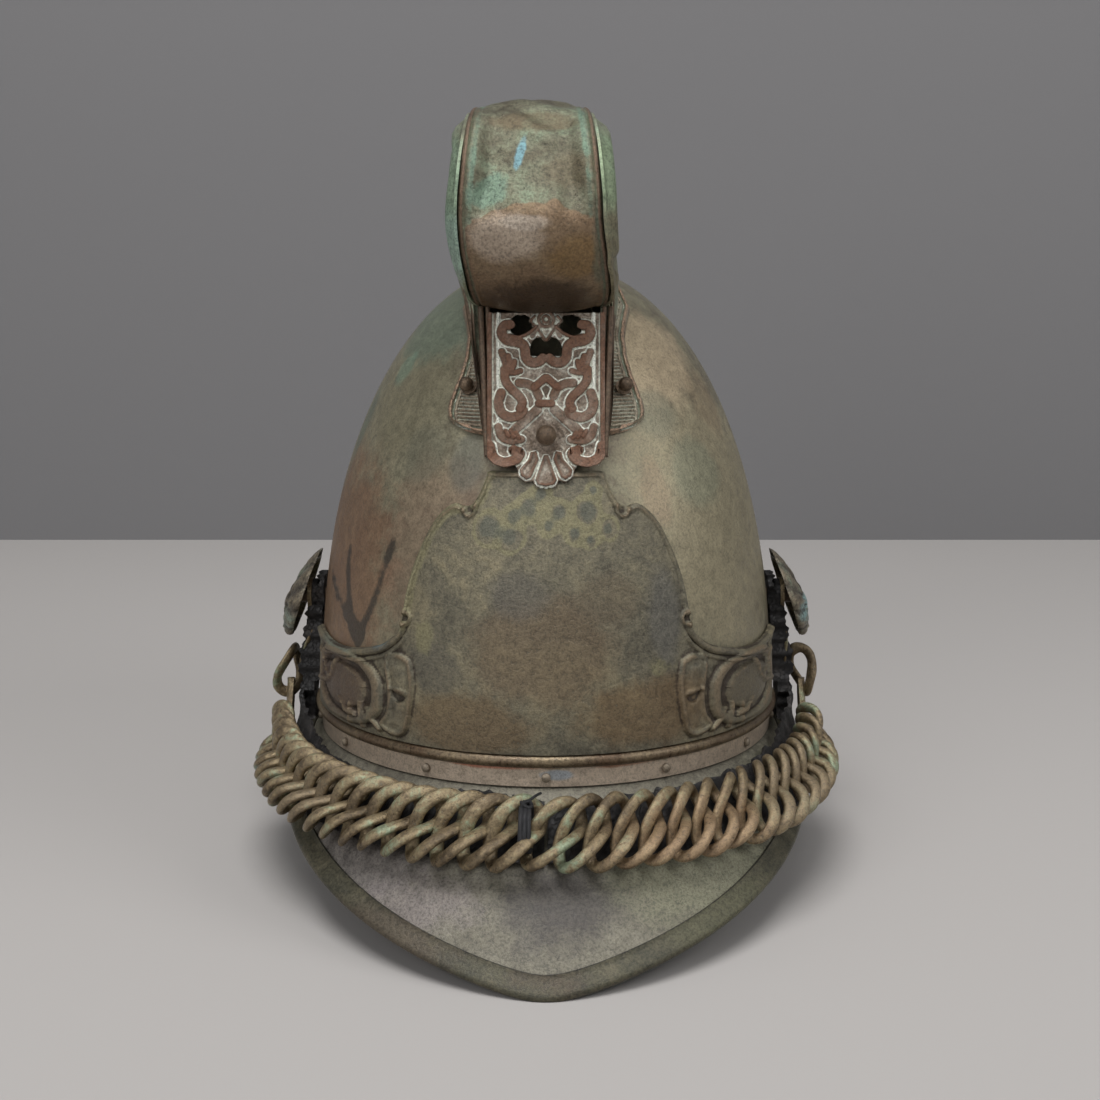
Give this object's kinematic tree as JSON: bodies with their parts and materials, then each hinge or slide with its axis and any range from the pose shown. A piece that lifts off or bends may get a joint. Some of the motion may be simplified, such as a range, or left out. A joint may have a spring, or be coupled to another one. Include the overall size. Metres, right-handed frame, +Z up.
{
  "type": "firefighter helmet",
  "caption": "Brass firefighter helmet with a tall hollow comb, pierced comb front, ornamental front plate, two peaks, leather liner and a chin chain that swings on side rosettes.",
  "frame": {"origin": "on the ground under the middle of the helmet's bounding box, with the helmet standing on the edges of its peaks", "axes": "+Z is up, -Y is the front where the wearer looks, +X is to the wearer's left side, which is on the right in a front view"},
  "size_m": [0.2301, 0.3245, 0.2865],
  "materials": {
    "skull_brass": "aged brass, olive brown patina",
    "peak_brass": "aged brass, grey brown patina",
    "comb_brass": "aged brass, green patina",
    "grille_brass": "worn cast brass, reddish with pale green ground",
    "plate_brass": "aged embossed brass, grey green patina",
    "trim_brass": "rubbed brass",
    "chain_brass": "dull brass wire",
    "black_leather": "dry black leather",
    "brown_leather": "dark brown leather",
    "thread": "waxed black thread",
    "lace": "undyed cotton lace"
  },
  "bodies": {
    "helmet": {"skull_shell": "skull_brass", "rim_bead": "trim_brass", "front_peak": "peak_brass", "rear_peak": "peak_brass", "front_peak_binding": "trim_brass", "rear_peak_binding": "trim_brass", "peak_rivets": "trim_brass", "comb_crest": "comb_brass", "comb_side_left": "comb_brass", "comb_side_right": "comb_brass", "comb_flange_left": "comb_brass", "comb_flange_right": "comb_brass", "comb_front_grille": "grille_brass", "comb_tail": "comb_brass", "comb_screw_front": "trim_brass", "comb_screw_left": "trim_brass", "comb_screw_right": "trim_brass", "comb_screw_rear": "trim_brass", "comb_nuts": "trim_brass", "front_plate": "plate_brass", "rosette_left": "trim_brass", "rosette_right": "trim_brass", "rosette_stud_left": "trim_brass", "rosette_stud_right": "trim_brass", "rosette_spacer_left": "trim_brass", "rosette_spacer_right": "trim_brass", "rosette_nuts": "trim_brass", "headband": "brown_leather", "liner_tongues": "brown_leather", "liner_lace": "lace"},
    "chin_chain": {"chain_links_left": "chain_brass", "chain_links_right": "chain_brass", "chain_leather_left": "black_leather", "chain_leather_right": "black_leather", "chain_tie": "thread", "chain_end_left": "chain_brass", "chain_end_right": "chain_brass"}
  },
  "joints": [
    {"name": "chin_chain_swing", "type": "hinge", "parent": "helmet", "child": "chin_chain", "pos_m": [0, 0.00595, 0.09176], "axis": [-1, 0, 0], "range_deg": [0, 60]}
  ]
}
